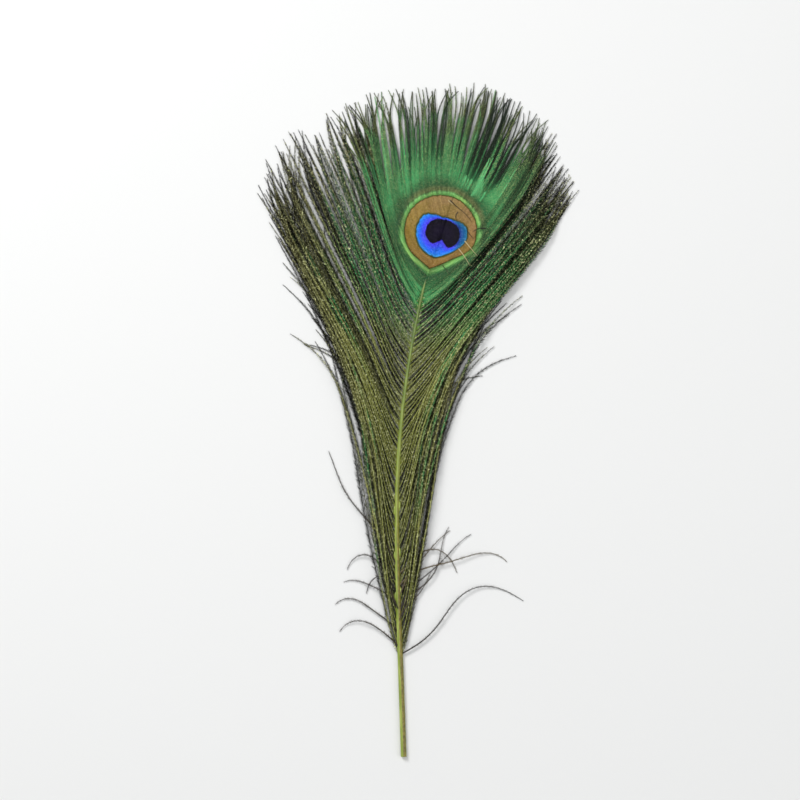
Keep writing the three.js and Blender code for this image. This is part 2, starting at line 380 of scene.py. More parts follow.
SIDES = {"left": (-1, LEFT_BARBS), "right": (1, RIGHT_BARBS)}
FAN_OPENS_FROM = 92
FAN_OPENS_OVER = 90
MOST_OPENED_AT_ROOT = 30
TIP_TURNS_FROM = 0.45
STRAYS_LESS_BETWEEN = (50, 100)
LINE_POINTS = 90
TIP_HEIGHT = 0.3
LENGTH_GAIN = 0.3
LENGTH_LOSS_MOST = 2.6

# Near the eye barbs stay closed in the vane, and past it they part. Where they are parted they stray
# from the tables, in part together with their clump and in part on their own.
EYE_CENTRE = np.array([15.9, 200.1])
CLOSED_FROM = 186
CLOSED_OVER = 16
BARBS_PART_FROM = 19
BARBS_PART_OVER = 20
FREE_FROM_ROOT = 6
CLUMP_LIMIT = 1.7
BARB_LIMIT = 2
WAVE_SPAN = 19
WAVE_SHIFT = 3
CURL_FROM = 0.72
CURL_BY_CLUMP = 0.6
CLOSED_BRIGHTNESS = 0.8
PARTED_BRIGHTNESS = 0.68
BRIGHTNESS_BY_CLUMP = 0.28
BRIGHTNESS_BY_BARB = 0.25

# Where the loose barbs grow and how high they lie. A barb's lift is from 0 to 1: high ones get
# painted light and low ones painted shade.
LOOSE_FROM = 41.5
LOOSE_TO = 197
LOOSE_SPACING = 1.35
LOOSE_CLOSER_FROM = 115
LOOSE_CLOSER_SPACING = 0.8
LOOSE_SPACING_PLAY = 0.3
LOOSE_SEEDS = {"left": 11, "right": 12}
ON_TOP_EVERY = 3
LIFTS_ON_TOP = (0.75, 1)
LIFTS_BELOW = (0, 0.5)
LEAST_RISE = 0.3
RISE_BY_LIFT = 3.7
RISE_AT = [41, 165, 182]
RISE_SHARE = [1, 1, 0]
UNDER_EYE_FROM = 180
UNDER_EYE_DROP = 0.4
MIDDLE_LIFT = 0.52
PAINTED_LIGHT_BY_LIFT = 1.3
LIFT_SHOWS_FROM_ROOT = 2


def clumps(count, least, most, draws):
    """Barbs cling together in clumps: which clump each is in, and its place across it from -1 to 1."""
    numbers, offsets = [], []
    while len(numbers) < count:
        size = draws.integers(least, most + 1)
        numbers += [numbers[-1] + 1 if numbers else 0] * size
        offsets += list(np.linspace(-1, 1, size))
    return np.array(numbers[:count]), np.array(offsets[:count])[:, None]


def walked(start, lean, along):
    """Where lines lead that leave their start and lean like this."""
    steps = np.diff(along, axis=1)
    middle = (lean[:, 1:] + lean[:, :-1]) / 2
    x = start[:, :1] + np.cumsum(np.pad(np.sin(middle) * steps, ((0, 0), (1, 0))), axis=1)
    y = start[:, 1:2] + np.cumsum(np.pad(np.cos(middle) * steps, ((0, 0), (1, 0))), axis=1)
    return x, y


def grown_barbs(side, table, stations, rises, play, draws):
    """Barbs that grow at the given stations. Each has a tone and its centre line in mm and, for each
    point of it, how far along that is, its lean, how bright it is with painted light and shade, and how
    far it has parted from its neighbours."""
    root, below, above, tip, turn, length = (
        np.interp(stations, table["at"], table[key])[:, None]
        for key in ("root", "below", "above", "tip", "turn", "length")
    )
    count = len(stations)
    shortened = np.abs(draws.normal(size=(count, 1))).clip(0, LENGTH_LOSS_MOST)
    length = length * (1 + play["length"] * (LENGTH_GAIN - shortened))
    share = np.linspace(0, 1, LINE_POINTS)[None, :]
    along = share * length
    start, _ = shaft_points(stations)
    opened_at_root = np.minimum(start[:, 1:2] - FAN_OPENS_FROM, MOST_OPENED_AT_ROOT)
    opened = smooth((along + opened_at_root) / FAN_OPENS_OVER)
    towards_tip = smooth((share - TIP_TURNS_FROM) / (1 - TIP_TURNS_FROM))
    lean = below + (above - below) * opened + (tip - above) * towards_tip
    lean = lean + (root - below) * np.exp(-along / turn)

    x, y = walked(start, np.radians(side * lean), along)
    from_eye = np.hypot(x - EYE_CENTRE[0], y - EYE_CENTRE[1])
    closed = smooth((stations[:, None] - CLOSED_FROM) / CLOSED_OVER)
    closed = closed * (1 - smooth((from_eye - BARBS_PART_FROM) / BARBS_PART_OVER))
    parted = (1 - closed) * smooth(along / FREE_FROM_ROOT)
    clump, offset = clumps(count, *play["clump"], draws)
    shared = draws.normal(size=(clump.max() + 1, 4))[clump].clip(-CLUMP_LIMIT, CLUMP_LIMIT)
    own = draws.normal(size=(count, 4)).clip(-BARB_LIMIT, BARB_LIMIT)
    curled = (CURL_BY_CLUMP * shared[:, 2:3] + own[:, 2:3]) * smooth((share - CURL_FROM) / (1 - CURL_FROM))
    strayed = (
        play["clump_lean"] * shared[:, :1]
        + play["own_lean"] * own[:, :1]
        + play["cling"] * offset
        + play["wave"] * np.sin(along / WAVE_SPAN + WAVE_SHIFT * shared[:, 1:2] + own[:, 1:2])
        + play["curl"] * curled
    )
    inwards, outwards = (
        np.interp(stations, STRAYS_LESS_BETWEEN, play[key])[:, None] for key in ("inwards", "outwards")
    )
    strayed = strayed * np.where(strayed < 0, inwards, outwards)
    lean = np.radians(side * (lean + parted * strayed))
    x, y = walked(start, lean, along)
    z = start[:, 2:] * (1 - share) + TIP_HEIGHT * share + rises[:, None] * 4 * share * (1 - share)
    brightness_and_painted_light = PARTED_BRIGHTNESS + BRIGHTNESS_BY_CLUMP * shared[:, 3:4] + BRIGHTNESS_BY_BARB * own[:, 3:4]
    # A barb at a clump's edge gets painted shade, as in the gaps between parted clumps.
    brightness_and_painted_light = brightness_and_painted_light - play["edge"] * offset ** 2
    brightness_and_painted_light = CLOSED_BRIGHTNESS + parted * (brightness_and_painted_light - CLOSED_BRIGHTNESS)
    tones = draws.uniform(size=count)
    return [
        {
            "line": np.stack([x[i], y[i], z[i]], axis=-1), "along": along[i], "lean": lean[i],
            "brightness_and_painted_light": brightness_and_painted_light[i], "parted": parted[i], "tone": tones[i],
        }
        for i in range(count)
    ]


SPINE_SIDES = 4
SPINE_TAPER = 0.8
FOOT_SPAN = 0.9
FIRST_BARBULE = (0.2, 0.8)
REACH_PLAY = (0.8, 1.15)
REACH_LEAST = 0.88
REACH_BY_TONE = 0.24
BARBULE_TIP_WIDTH = 0.45


def barb_parts(barb, look, draws):
    """One barb's spine as a four-sided tube, then its barbules as flat blades down each side. Each part
    has its points and faces, how far along each point is and how far out on a barbule, and its side."""
    line, along, lean = barb["line"], barb["along"], barb["lean"]
    length = along[-1]
    stops = np.linspace(0, length, look["spine_steps"])
    spine = np.stack([np.interp(stops, along, line[:, i]) for i in range(3)], axis=-1)
    radius = look["spine"] * (1 - SPINE_TAPER * stops / length) + look["foot"] * np.exp(-stops / FOOT_SPAN)
    spine_lean = np.interp(stops, along, lean)
    across = np.stack([np.cos(spine_lean), -np.sin(spine_lean), np.zeros_like(stops)], axis=-1)
    rings = []
    for i in range(SPINE_SIDES):
        turn = math.pi * (1 + 2 * i) / SPINE_SIDES
        rings.append(spine + radius[:, None] * (across * math.cos(turn) + [0, 0, math.sin(turn)]))
    corner = np.arange(len(stops) * SPINE_SIDES).reshape(-1, SPINE_SIDES)
    turned = np.roll(corner, -1, axis=1)
    walls = np.stack([corner[:-1], turned[:-1], turned[1:], corner[1:]], axis=-1).reshape(-1, 4)
    spine_faces = np.concatenate([walls, [corner[0][::-1], corner[-1]]])
    spine_at = np.repeat(stops, SPINE_SIDES)
    yield np.stack(rings, axis=1).reshape(-1, 3), spine_faces, spine_at, np.zeros(corner.size), 0
    for blade_side in (-1, 1):
        number = int((length - look["from"]) / look["pitch"])
        counted = np.arange(number) + draws.uniform(*FIRST_BARBULE)
        at = look["from"] + counted * (length - look["from"]) / number
        foot = np.stack([np.interp(at, along, line[:, i]) for i in range(3)], axis=-1)
        ahead = np.interp(at, along, lean)
        forward = np.stack([np.sin(ahead), np.cos(ahead), np.zeros(number)], axis=-1)
        sideways = np.stack([np.cos(ahead), -np.sin(ahead), np.zeros(number)], axis=-1) * blade_side
        up = np.array([0, 0, 1])
        reach = look["reach"] * np.interp(at / length, look["reach_at"], look["reach_by"])
        reach = reach * draws.uniform(*REACH_PLAY, number) * (REACH_LEAST + REACH_BY_TONE * barb["tone"])
        opening = np.radians(look["opening"] + draws.normal(size=number) * look["opening_spread"])[:, None]
        fall = np.radians(look["fall"] + draws.normal(size=number) * look["fall_spread"])[:, None]
        outwards = sideways * np.cos(fall) - up * np.sin(fall)
        tip = foot + (forward * np.cos(opening) + outwards * np.sin(opening)) * reach[:, None]
        twist = np.radians(draws.normal(size=number) * look["twist"])[:, None]
        half = (forward * np.cos(twist) + up * np.sin(twist)) * look["width"] / 2
        tip_half = half * BARBULE_TIP_WIDTH
        blade = np.stack([foot - half, foot + half, tip + tip_half, tip - tip_half], axis=1)
        outward = np.array([0, 0, 1, 1])
        if blade_side > 0:
            blade, outward = blade[:, ::-1], outward[::-1]
        yield (
            blade.reshape(-1, 3), np.arange(number * 4).reshape(-1, 4), np.repeat(at, 4),
            np.tile(outward, number), blade_side,
        )


LOWEST_POINT = 0.03
MAP_CLEAR_OF_SPINE = 0.06
MAP_REACH = 0.38


def barbs_piece(name, barbs, look, draws):
    """Barbs joined in one mesh, with values for its material and a bake map: a row for each barb."""
    places, faces, maps = [], [], []
    values = {"along": [], "outward": [], "brightness_and_painted_light": [], "parted": [], "tone": []}
    total = 0
    for index, barb in enumerate(barbs):
        length = barb["along"][-1]
        for points, quads, at, outward, blade_side in barb_parts(barb, barb.get("look", look), draws):
            places.append(points)
            faces.append(quads + total)
            values["along"].append(at / length)
            values["outward"].append(outward)
            values["brightness_and_painted_light"].append(np.interp(at, barb["along"], barb["brightness_and_painted_light"]))
            values["parted"].append(np.interp(at, barb["along"], barb["parted"]))
            values["tone"].append(np.full(len(at), barb["tone"]))
            row = index + 0.5 + blade_side * (MAP_CLEAR_OF_SPINE + MAP_REACH * outward)
            maps.append(np.stack([at / length, row / len(barbs)], axis=-1))
            total += len(points)
    places = np.concatenate(places)
    places[:, 2] = np.maximum(places[:, 2], LOWEST_POINT)
    faces = np.concatenate(faces)
    mesh = bpy.data.meshes.new(name)
    mesh.vertices.add(len(places))
    mesh.vertices.foreach_set("co", (places * MM).astype(np.float32).ravel())
    mesh.loops.add(faces.size)
    mesh.loops.foreach_set("vertex_index", faces.astype(np.int32).ravel())
    mesh.polygons.add(len(faces))
    mesh.polygons.foreach_set("loop_start", np.arange(0, faces.size, 4, dtype=np.int32))
    bake_map = mesh.uv_layers.new(name="OFBake")
    bake_map.data.foreach_set("uv", np.concatenate(maps)[faces.ravel()].astype(np.float32).ravel())
    mesh.update(calc_edges=True)
    for key, parts in values.items():
        add_values(mesh, key, np.concatenate(parts))
    piece = bpy.data.objects.new(name, mesh)
    bpy.context.scene.collection.objects.link(piece)
    return piece, places


# A look gives mm for the spine's radius, what its foot adds and the barbules' first place, pitch, width
# and reach, then degrees for their opening from the barb, their fall and their twist. A play gives the
# spread of lengths, the barbs in a clump, degrees that barbs stray, and how much painted shade darkens
# clumps' edges.
LOOSE_LOOK = {
    "spine": 0.14, "foot": 0.2, "spine_steps": 34, "from": 0.6, "pitch": 0.37, "width": 0.34,
    "reach": 1.5, "reach_at": [0, 0.02, 0.2, 0.55, 0.85, 1], "reach_by": [0.5, 0.75, 1, 1.15, 0.95, 0.3],
    "opening": 31, "opening_spread": 8, "fall": 28, "fall_spread": 12, "twist": 35,
}
LOOSE_PLAY = {
    "length": 0.09, "clump": (2, 4), "clump_lean": 0.5, "own_lean": 1.1, "cling": 0.4,
    "wave": 1.2, "curl": 13, "inwards": (1.6, 1), "outwards": (1.8, 0.3), "edge": 0.0,
}

# The green of the eye spreads to the barbs around it: full so near its centre, and gone so far away
GREEN_FULL_WITHIN = 24
GREEN_GONE_PAST = 64
GREEN_CENTRE_HEIGHT = 3

strand, tree, shader = new_material("loose_barbs")
place = node(tree, "ShaderNodeTexCoord").outputs["Object"]
along_barb = attribute(tree, "along")
outward = attribute(tree, "outward")
brightness_and_painted_light = attribute(tree, "brightness_and_painted_light")
patches = noise(tree, place, scale=60)
grain = noise(tree, place, scale=1500)
eye_point = (EYE_CENTRE[0] * MM, EYE_CENTRE[1] * MM, GREEN_CENTRE_HEIGHT * MM)
to_eye = node(tree, "ShaderNodeVectorMath", {0: place, 1: eye_point}, operation="DISTANCE")
olive = ramp(tree, along_barb, [
    (0.0, "a9ae50"), (0.03, "979c4e"), (0.35, "a4a75c"),
    (0.65, "8f8f56"), (0.85, "5f5b36"), (1.0, "332c1c"),
])
green = ramp(tree, along_barb, [
    (0.0, "6aa040"), (0.05, "46985a"), (0.5, "3c8c50"), (0.8, "345f36"), (1.0, "28241a"),
])
near_eye = ranged(tree, to_eye.outputs["Value"], GREEN_GONE_PAST * MM, GREEN_FULL_WITHIN * MM)
green_ones = ranged(tree, maths(tree, "ADD", attribute(tree, "tone"), patches), 1.12, 1.45, 0.0, 0.9)
green_ones = maths(tree, "MULTIPLY", green_ones, ranged(tree, along_barb, 0.1, 0.5))
colour = blended(tree, ranged(tree, maths(tree, "ADD", near_eye, green_ones), 0.0, 1.0), olive, green)
# Dim barbs darken: partly random tone, partly painted shade on low barbs, with painted light on high ones.
colour = blended(tree, ranged(tree, brightness_and_painted_light, 0.25, 1.0), tint("12110a"), colour)
# Barbules darken towards their tips, most near the root: painted shade in the gaps between barbs.
outward = maths(tree, "MULTIPLY", outward, ranged(tree, along_barb, 0.0, 0.3, 2.4, 1.0))
colour = blended(tree, ranged(tree, outward, 0.05, 0.7, 0.0, 0.93), colour, tint("0c0d08"))
# Painted glints, strongest on the brighter barbs.
glints = ranged(tree, grain, 0.52, 0.68, 0.0, 0.9)
glints = maths(tree, "MULTIPLY", glints, ranged(tree, brightness_and_painted_light, 0.1, 0.8, 0.05, 1.0))
colour = blended(tree, glints, colour, tint("dadca4"))
tree.links.new(colour, shader.inputs["Base Color"])
shader.inputs["Metallic"].default_value = 0.45
shader.inputs["Specular IOR Level"].default_value = 0.2
tree.links.new(ranged(tree, grain, 0.2, 0.8, 0.28, 0.5), shader.inputs["Roughness"])
add_bump(tree, shader, grain, strength=0.3, distance=0.05 * MM)

for side_name, (side, table) in SIDES.items():
    draws = np.random.default_rng(LOOSE_SEEDS[side_name])
    stations = np.append(
        np.arange(LOOSE_FROM, LOOSE_CLOSER_FROM, LOOSE_SPACING),
        np.arange(LOOSE_CLOSER_FROM, LOOSE_TO, LOOSE_CLOSER_SPACING),
    )
    count = len(stations)
    stations = stations + draws.uniform(-LOOSE_SPACING_PLAY, LOOSE_SPACING_PLAY, count)
    on_top = np.arange(count) % ON_TOP_EVERY == 0
    lifts = np.where(on_top, draws.uniform(*LIFTS_ON_TOP, count), draws.uniform(*LIFTS_BELOW, count))
    rises = (LEAST_RISE + RISE_BY_LIFT * lifts) * np.interp(stations, RISE_AT, RISE_SHARE)
    rises = rises - UNDER_EYE_DROP * (stations > UNDER_EYE_FROM)
    barbs = grown_barbs(side, table, stations, rises, LOOSE_PLAY, draws)
    # Painted light on high barbs and painted shade on low ones, as if the barbs above shaded those below.
    for barb, lift in zip(barbs, lifts):
        shows = smooth(barb["along"] / LIFT_SHOWS_FROM_ROOT)
        barb["brightness_and_painted_light"] = barb["brightness_and_painted_light"] + PAINTED_LIGHT_BY_LIFT * (lift - MIDDLE_LIFT) * shows
    half = len(barbs) // 2
    for part_name, chosen in (("lower", barbs[:half]), ("upper", barbs[half:])):
        piece, _ = barbs_piece(f"barbs_{side_name}_{part_name}", chosen, LOOSE_LOOK, draws)
        piece.data.materials.append(strand)
        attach(piece, "root")
        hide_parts("feather")

# Eye and fringe
# About the end of the shaft the barbs stand close and their barbules hook together in a smooth, slightly
# domed vane that carries the eye's colours. Past it the same barbs come apart in a fringe.
EYE_AXIS = math.radians(17)
VANE_RADIUS = 21.5
VANE_CROWN = 3.9
VANE_DROP = 1.0
VANE_FALL = 0.058
EYE_FROM = 188.0
EYE_TO = 237.6
EYE_SPACING = 0.56
EYE_SEEDS = {"left": 25, "right": 22}
EYE_LOOK = {
    "spine": 0.1, "foot": 0.05, "spine_steps": 30, "from": 0.0, "pitch": 0.34, "width": 0.36,
    "reach": 0.95, "reach_at": [0, 0.04, 0.5, 0.8, 1], "reach_by": [0.8, 1, 1, 0.75, 0.3],
    "opening": 42, "opening_spread": 3, "fall": 4, "fall_spread": 3, "twist": 8,
}
EYE_PLAY = {
    "length": 0.09, "clump": (2, 6), "clump_lean": 0.9, "own_lean": 0.6, "cling": 1.0,
    "wave": 1.1, "curl": 13, "inwards": (1, 1), "outwards": (1, 1), "edge": 0.35,
}


def vane_height(places):
    """Height of the closed vane's surface in mm, domed in the eye and falling slowly past its rim."""
    distance = np.hypot(places[..., 0] - EYE_CENTRE[0], places[..., 1] - EYE_CENTRE[1])
    domed = VANE_CROWN - VANE_DROP * (distance / VANE_RADIUS) ** 2
    fallen = VANE_CROWN - VANE_DROP - (distance - VANE_RADIUS) * VANE_FALL
    return np.maximum(np.where(distance < VANE_RADIUS, domed, fallen), TIP_HEIGHT)


# The shaft's own ridge through the vane closes the seam between left and right.
RIDGE_FROM = 196
RIDGE_HEIGHT = 0.05
RIDGE_TONE = 0.2
RIDGE_LOOK = {
    **EYE_LOOK, "spine": 0.06, "pitch": 0.22, "reach": 1.1, "reach_at": [0, 1], "reach_by": [1, 1],
}


def shaft_ridge():
    """The end of the shaft as one more barb, just above the vane."""
    stations = np.linspace(RIDGE_FROM, SHAFT_LENGTH + 1, LINE_POINTS)
    line, _ = shaft_points(stations)
    line[:, 2] = vane_height(line) + RIDGE_HEIGHT
    return {
        "line": line, "along": stations - RIDGE_FROM, "look": RIDGE_LOOK,
        "lean": np.radians(np.interp(stations, SHAFT_AT, SHAFT_LEAN)),
        "brightness_and_painted_light": np.full(LINE_POINTS, CLOSED_BRIGHTNESS), "parted": np.zeros(LINE_POINTS),
        "tone": RIDGE_TONE,
    }


# The eye's marks in mm, in a frame at the eye's centre whose up follows its axis: a bronze disc with a
# point below and a flattened side at the lower right, a blue field like it, and a dark heart with a notch.
DISC_CENTRE = (0.3, 0.0)
DISC_RADIUS = 15.4
DISC_POINT = 17.2
DISC_POINT_TURN = math.radians(4)
FIELD_CENTRE = (1.0, -0.8)
FIELD_RADIUS = 10.7
FIELD_TOP = 5.9
FIELD_CORNER = 2.4
FLAT_SIDE = (0.684, -0.729)
DISC_TO_FLAT_SIDE = 13.5
DISC_SIDE_CORNER = 1.5
FIELD_TO_FLAT_SIDE = 10.4
FIELD_SIDE_CORNER = 2.5
HEART_CENTRE = (1.5, -0.7)
HEART_HALF_WIDTH = 7.2
HEART_HALF_HEIGHT = 5.8
HEART_SQUARENESS = 2.5
NOTCH_APEX = (1.9, -3.5)
NOTCH_SLOPE = 1.05
NOTCH_CORNER = 0.9


def within_both(first, second, corner):
    """Signed distance to the edge of what two shapes share, with its corner rounded."""
    near = np.clip(0.5 - 0.5 * (second - first) / corner, 0, 1)
    return second + (first - second) * near + corner * near * (1 - near)


def eye_marks(places):
    """Signed distances in mm to the edges of the disc, the field and the heart, negative inside, and
    places across the eye and up its axis."""
    x = places[:, 0] - EYE_CENTRE[0]
    y = places[:, 1] - EYE_CENTRE[1]
    across = x * math.cos(EYE_AXIS) - y * math.sin(EYE_AXIS)
    up = x * math.sin(EYE_AXIS) + y * math.cos(EYE_AXIS)
    to_flat_side = across * FLAT_SIDE[0] + up * FLAT_SIDE[1]
    from_disc = np.hypot(across - DISC_CENTRE[0], up - DISC_CENTRE[1])
    from_point = np.abs(np.arctan2(across, -up) - DISC_POINT_TURN)
    touching = math.acos(DISC_RADIUS / DISC_POINT)
    disc = np.where(from_point < touching, from_disc * np.cos(touching - from_point), from_disc)
    disc = within_both(disc - DISC_RADIUS, to_flat_side - DISC_TO_FLAT_SIDE, DISC_SIDE_CORNER)
    field = np.hypot(across - FIELD_CENTRE[0], up - FIELD_CENTRE[1]) - FIELD_RADIUS
    field = within_both(field, to_flat_side - FIELD_TO_FLAT_SIDE, FIELD_SIDE_CORNER)
    field = within_both(field, up - FIELD_TOP, FIELD_CORNER)
    size = (
        np.abs((across - HEART_CENTRE[0]) / HEART_HALF_WIDTH) ** HEART_SQUARENESS
        + np.abs((up - HEART_CENTRE[1]) / HEART_HALF_HEIGHT) ** HEART_SQUARENESS
    ) ** (1 / HEART_SQUARENESS)
    notch = (NOTCH_APEX[1] - up) * NOTCH_SLOPE - np.abs(across - NOTCH_APEX[0])
    heart = (size - 1) * (HEART_HALF_WIDTH + HEART_HALF_HEIGHT) / 2
    heart = within_both(heart, notch, NOTCH_CORNER)
    return {"disc": disc, "field": field, "heart": heart, "eye_across": across, "eye_up": up}


# At the upper right of the eye the vane is torn: bright barbs broken off short lie over dim ones, and
# a few of them stand out as a longer tuft. Headings are in degrees right of +Y, from the eye's centre.
TORN_HEADINGS = (20, 54)
TORN_EDGE = 6
TORN_AWAY = (22.5, 27)
TORN_FADE = 4
TORN_DIMMING = 0.4
TORN_BRIGHTER = (-0.2, 0.45)
TORN_FROM = EYE_STATION + 4
TORN_SPACING = EYE_SPACING * 0.8
TORN_CLEAR_OF_DISC = 1.5
FEWEST_POINTS = 5
TUFT_HEADING = 39
TUFT_SPREAD = 2.6
TUFT_REACH = 16
TUFT_REACH_PLAY = (0.6, 1)
TUFT_BRIGHTER = 0.3
TORN_LIFT = 0.15


def eye_heading(line):
    """How far points are from the eye's centre, and their direction from it in degrees right of +Y."""
    x = line[:, 0] - EYE_CENTRE[0]
    y = line[:, 1] - EYE_CENTRE[1]
    return np.hypot(x, y), np.degrees(np.arctan2(x, y))


def dimming(line):
    """How much darker the barbs are that the torn place lays bare."""
    away, heading = eye_heading(line)
    inside = smooth((heading - TORN_HEADINGS[0]) / TORN_EDGE)
    inside = inside * smooth((TORN_HEADINGS[1] - heading) / TORN_EDGE)
    return TORN_DIMMING * inside * smooth((away - TORN_AWAY[0]) / TORN_FADE)


def torn_barbs(draws):
    """The broken barbs of the torn place: what is left of barbs that grow as the others do."""
    stations = np.arange(TORN_FROM, EYE_TO, TORN_SPACING)
    kept_barbs = []
    for barb in grown_barbs(1, RIGHT_BARBS, stations, np.zeros(len(stations)), EYE_PLAY, draws):
        barb["line"][:, 2] = vane_height(barb["line"]) + TORN_LIFT
        away, heading = eye_heading(barb["line"])
        edge_heading = np.interp(TORN_AWAY[1], away, heading)
        in_tuft = math.exp(-((edge_heading - TUFT_HEADING) / TUFT_SPREAD) ** 2)
        break_at = draws.uniform(*TORN_AWAY) + TUFT_REACH * in_tuft * draws.uniform(*TUFT_REACH_PLAY)
        kept = (away > DISC_RADIUS + TORN_CLEAR_OF_DISC) & (away < break_at)
        kept = kept & (heading > TORN_HEADINGS[0]) & (heading < TORN_HEADINGS[1])
        if kept.sum() >= FEWEST_POINTS:
            torn = {key: barb[key][kept] for key in ("line", "lean", "parted")}
            along = barb["along"][kept]
            brighter = draws.uniform(*TORN_BRIGHTER) + TUFT_BRIGHTER * in_tuft
            outer = smooth((away[kept] - TORN_AWAY[0]) / TORN_FADE + 1)
            kept_barbs.append({
                **torn, "along": along - along[0], "tone": draws.uniform(),
                "brightness_and_painted_light": CLOSED_BRIGHTNESS + brighter * outer,
            })
    return kept_barbs


iridescent, tree, shader = new_material("eye_vane")
place = node(tree, "ShaderNodeTexCoord").outputs["Object"]
tone = attribute(tree, "tone")
brightness_and_painted_light = attribute(tree, "brightness_and_painted_light")
outward = attribute(tree, "outward")
parted = attribute(tree, "parted")
across = attribute(tree, "eye_across")
up = attribute(tree, "eye_up")
grain = noise(tree, place, scale=1600)
patches = noise(tree, place, scale=130)
fray = maths(tree, "MULTIPLY", maths(tree, "SUBTRACT", tone, 0.5), 0.5)
disc = maths(tree, "ADD", attribute(tree, "disc"), fray)
field = maths(tree, "ADD", attribute(tree, "field"), fray)
heart = maths(tree, "ADD", attribute(tree, "heart"), fray)

# Outside the disc: a light green ring, a brown-grey band over its top, dark green, then emerald that
# turns olive at the tips. Painted glints and painted shade between barbs grow where the barbs have parted.
ring_width = ranged(tree, patches, 0.3, 0.7, 0.92, 1.35)
colour = ramp(tree, ranged(tree, maths(tree, "MULTIPLY", disc, ring_width), 0.0, 46.0, manner="LINEAR"), [
    (0.0, "3f7a34"), (0.012, "6cb458"), (0.03, "8ad07a"), (0.045, "4a8c4a"),
    (0.07, "28583a"), (0.12, "2e6c40"), (0.22, "449f60"), (0.55, "3f9a5c"),
    (0.8, "3f6e3c"), (1.0, "454022"),
])
in_ring = maths(tree, "MULTIPLY", ranged(tree, disc, 0.0, 0.6), ranged(tree, disc, 2.0, 1.1))
yellowed = maths(tree, "MULTIPLY", in_ring, ranged(tree, patches, 0.4, 0.65, 0.0, 0.6))
colour = blended(tree, yellowed, colour, tint("a6cf6a"))
over_top = maths(tree, "MULTIPLY", ranged(tree, disc, 1.5, 2.4), ranged(tree, disc, 5.0, 2.8))
over_top = maths(tree, "MULTIPLY", over_top, ranged(tree, up, 3.0, 14.0, 0.0, 0.75))
colour = blended(tree, over_top, colour, tint("77784a"))
at_right = maths(tree, "MULTIPLY", ranged(tree, across, 17.0, 27.0, 0.0, 0.6), ranged(tree, disc, 3.0, 8.0))
colour = blended(tree, at_right, colour, tint("2b4426"))
# The brightest barbs get a painted highlight; dim ones darken, clump edges among them with painted shade.
colour = blended(tree, ranged(tree, brightness_and_painted_light, 0.9, 1.15, 0.0, 0.75), colour, tint("66cf85"))
colour = blended(tree, ranged(tree, brightness_and_painted_light, -0.15, 0.75), tint("152214"), colour)
# Painted shade towards the barbule tips, between parted barbs.
painted_gap_shade = maths(tree, "MULTIPLY", ranged(tree, outward, 0.1, 1.0), ranged(tree, parted, 0.0, 0.8, 0.52, 0.9))
colour = blended(tree, painted_gap_shade, colour, tint("0e120a"))
colour = blended(tree, ranged(tree, tone, 0.2, 1.0, 0.0, 0.62), colour, tint("10200e"))
# Painted glints, fainter in the closed vane.
sparks = noise(tree, place, scale=3200)
glints = ranged(tree, sparks, 0.5, 0.66, 0.0, 0.8)
glints = maths(tree, "MULTIPLY", glints, ranged(tree, parted, 0.0, 0.9, 0.45, 1.0))
glints = maths(tree, "MULTIPLY", glints, ranged(tree, brightness_and_painted_light, 0.1, 0.8))
colour = blended(tree, glints, colour, tint("a9c07c"))

# The bronze disc, with a thin brown edge
sideways = ramp(tree, ranged(tree, across, -15, 15, manner="LINEAR"), [
    (0.0, "9c8230"), (0.4, "9c7f48"), (1.0, "987248"),
])
upwards = ramp(tree, ranged(tree, up, -16, 16, manner="LINEAR"), [
    (0.0, "98703c"), (0.35, "9a7e3e"), (0.75, "9e825a"), (1.0, "9c8666"),
])
bronze = blended(tree, 0.5, sideways, upwards)
bronze = blended(tree, ranged(tree, patches, 0.35, 0.7, 0.0, 0.4), bronze, tint("7f7424"))
bronze = blended(tree, ranged(tree, grain, 0.5, 0.72, 0.0, 0.5), bronze, tint("c29e64"))
bronze = blended(tree, ranged(tree, grain, 0.46, 0.3, 0.0, 0.4), bronze, tint("5e4016"))
bronze = blended(tree, ranged(tree, tone, 0.4, 1.0, 0.0, 0.3), bronze, tint("4a3210"))
bronze = blended(tree, ranged(tree, outward, 0.2, 1.0, 0.0, 0.3), bronze, tint("5e4416"))
colour = blended(tree, ranged(tree, disc, 0.14, -0.1), colour, tint("43310f"))
colour = blended(tree, ranged(tree, disc, -0.15, -0.5), colour, bronze)

# The blue field: violet about the heart, then azure, and teal at its right
between = maths(tree, "DIVIDE", heart, maths(tree, "SUBTRACT", heart, field))
blue = ramp(tree, between, [
    (0.0, "5140ee"), (0.35, "4150f2"), (0.65, "2670f0"), (0.88, "2a86ea"), (1.0, "45b4e0"),
])
teal = ramp(tree, between, [(0.0, "1c2f8c"), (0.35, "12508e"), (0.8, "14648e"), (1.0, "3a9cc0")])
to_right = ranged(tree, maths(tree, "ADD", across, maths(tree, "MULTIPLY", up, 0.4)), 4.0, 9.0)
blue = blended(tree, to_right, blue, teal)
# Pale specks are painted sparkle highlights.
blue = blended(tree, ranged(tree, grain, 0.5, 0.75, 0.0, 0.4), blue, tint("84baff"))
blue = blended(tree, ranged(tree, grain, 0.46, 0.3, 0.0, 0.3), blue, tint("1a1c78"))
blue = blended(tree, ranged(tree, tone, 0.4, 1.0, 0.0, 0.25), blue, tint("141a5c"))
colour = blended(tree, ranged(tree, field, 0.9, 0.3), colour, tint("4c4a18"))
colour = blended(tree, ranged(tree, field, 0.3, 0.0), colour, tint("1a4450"))
colour = blended(tree, ranged(tree, field, 0.0, -0.3), colour, blue)

